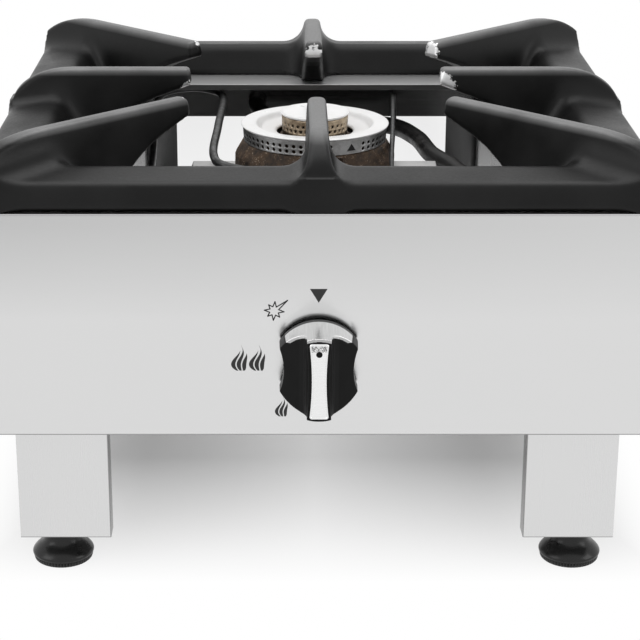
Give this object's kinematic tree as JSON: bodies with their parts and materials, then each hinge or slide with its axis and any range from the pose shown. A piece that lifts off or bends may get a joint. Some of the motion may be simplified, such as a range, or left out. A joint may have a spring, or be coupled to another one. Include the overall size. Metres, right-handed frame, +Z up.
{
  "type": "stock pot range",
  "caption": "Low square stainless stock pot range with one double-crown gas burner in a well, a cast pot grate with inward fingers, a push-and-turn front knob and corner legs on levelling feet.",
  "frame": {"origin": "on the floor under the middle of the model's plan", "axes": "+Z up, front panel and knob face -Y, +X to the right as seen from the front"},
  "size_m": [0.5814, 0.676, 0.4],
  "materials": {
    "brushed_panel": "brushed stainless, grain along the width",
    "leg_steel": "brushed stainless, softer grain",
    "plain_steel": "mill finish steel",
    "zinc_steel": "bright zinc plate",
    "black_plastic": "black moulded plastic",
    "satin_silver": "satin silver",
    "cast_iron_enamel": "black enamel over a sand-cast skin, worn at the tips",
    "burner_casting": "heat-browned casting, mottled",
    "white_enamel": "warm white enamel",
    "brass": "dull brass",
    "dark_pipe": "black pipe",
    "small_tube": "drawn tube, slightly tarnished"
  },
  "bodies": {
    "range_body": {"front_panel": "brushed_panel", "rear_panel": "brushed_panel", "side_panel_left": "brushed_panel", "side_panel_right": "brushed_panel", "top_plate": "brushed_panel", "leg_front_left": "leg_steel", "leg_front_right": "leg_steel", "leg_rear_right": "leg_steel", "leg_rear_left": "leg_steel", "base_rail_front": "plain_steel", "base_rail_rear": "plain_steel", "base_rail_left": "plain_steel", "base_rail_right": "plain_steel", "tray_runner_left": "plain_steel", "tray_runner_right": "plain_steel", "burner_bracket": "plain_steel", "mixing_tube": "plain_steel", "foot_nut_front_left": "zinc_steel", "foot_nut_front_right": "zinc_steel", "foot_nut_rear_right": "zinc_steel", "foot_nut_rear_left": "zinc_steel", "valve_nut": "zinc_steel", "inlet_nut": "zinc_steel", "thermocouple": "zinc_steel", "pilot_bracket": "zinc_steel", "rear_screw_1": "zinc_steel", "rear_screw_2": "zinc_steel", "rear_screw_3": "zinc_steel", "rear_screw_4": "zinc_steel", "burner_base": "burner_casting", "injector_holder": "brass", "injector": "brass", "gas_valve": "brass", "inlet_elbow": "brass", "pilot_burner": "brass", "supply_pipe": "dark_pipe", "gas_pipe": "small_tube", "pilot_tube": "small_tube", "thermocouple_lead": "small_tube"},
    "push_collar": {"push_collar": "zinc_steel"},
    "knob": {"valve_spindle": "zinc_steel", "knob_body": "black_plastic", "knob_band": "satin_silver", "knob_insert": "satin_silver"},
    "pot_grate": {"pot_grate": "cast_iron_enamel"},
    "outer_crown": {"outer_crown_ring": "white_enamel"},
    "inner_crown": {"inner_crown": "brass"},
    "inner_cap": {"inner_cap": "white_enamel"},
    "drip_tray": {"drip_tray": "brushed_panel"},
    "air_shutter": {"air_shutter": "zinc_steel"},
    "foot_front_left": {"foot_front_left": "black_plastic", "foot_stud_front_left": "zinc_steel"},
    "foot_front_right": {"foot_front_right": "black_plastic", "foot_stud_front_right": "zinc_steel"},
    "foot_rear_right": {"foot_rear_right": "black_plastic", "foot_stud_rear_right": "zinc_steel"},
    "foot_rear_left": {"foot_rear_left": "black_plastic", "foot_stud_rear_left": "zinc_steel"}
  },
  "joints": [
    {"name": "knob_push", "type": "slide", "parent": "range_body", "child": "push_collar", "axis": [0, 1, 0], "range_m": [0, 0.004], "stiffness_N_per_m": 2000, "springref_m": -0.003},
    {"name": "knob_turn", "type": "hinge", "parent": "push_collar", "child": "knob", "pos_m": [0, -0.29, 0.214], "axis": [0, -1, 0], "range_deg": [0, 147]},
    {"name": "grate_lift", "type": "slide", "parent": "range_body", "child": "pot_grate", "axis": [0, 0, 1], "range_m": [0, 0.15]},
    {"name": "outer_crown_lift", "type": "slide", "parent": "range_body", "child": "outer_crown", "axis": [0, 0, 1], "range_m": [0, 0.06]},
    {"name": "inner_crown_lift", "type": "slide", "parent": "range_body", "child": "inner_crown", "axis": [0, 0, 1], "range_m": [0, 0.06]},
    {"name": "inner_cap_lift", "type": "slide", "parent": "inner_crown", "child": "inner_cap", "axis": [0, 0, 1], "range_m": [0, 0.03]},
    {"name": "tray_pull", "type": "slide", "parent": "range_body", "child": "drip_tray", "axis": [0, 1, 0], "range_m": [0, 0.36]},
    {"name": "air_shutter_slide", "type": "slide", "parent": "range_body", "child": "air_shutter", "axis": [0, -1, 0], "range_m": [0, 0.008]},
    {"name": "foot_front_left_level", "type": "slide", "parent": "range_body", "child": "foot_front_left", "axis": [0, 0, -1], "range_m": [0, 0.02]},
    {"name": "foot_front_right_level", "type": "slide", "parent": "range_body", "child": "foot_front_right", "axis": [0, 0, -1], "range_m": [0, 0.02]},
    {"name": "foot_rear_right_level", "type": "slide", "parent": "range_body", "child": "foot_rear_right", "axis": [0, 0, -1], "range_m": [0, 0.02]},
    {"name": "foot_rear_left_level", "type": "slide", "parent": "range_body", "child": "foot_rear_left", "axis": [0, 0, -1], "range_m": [0, 0.02]}
  ]
}
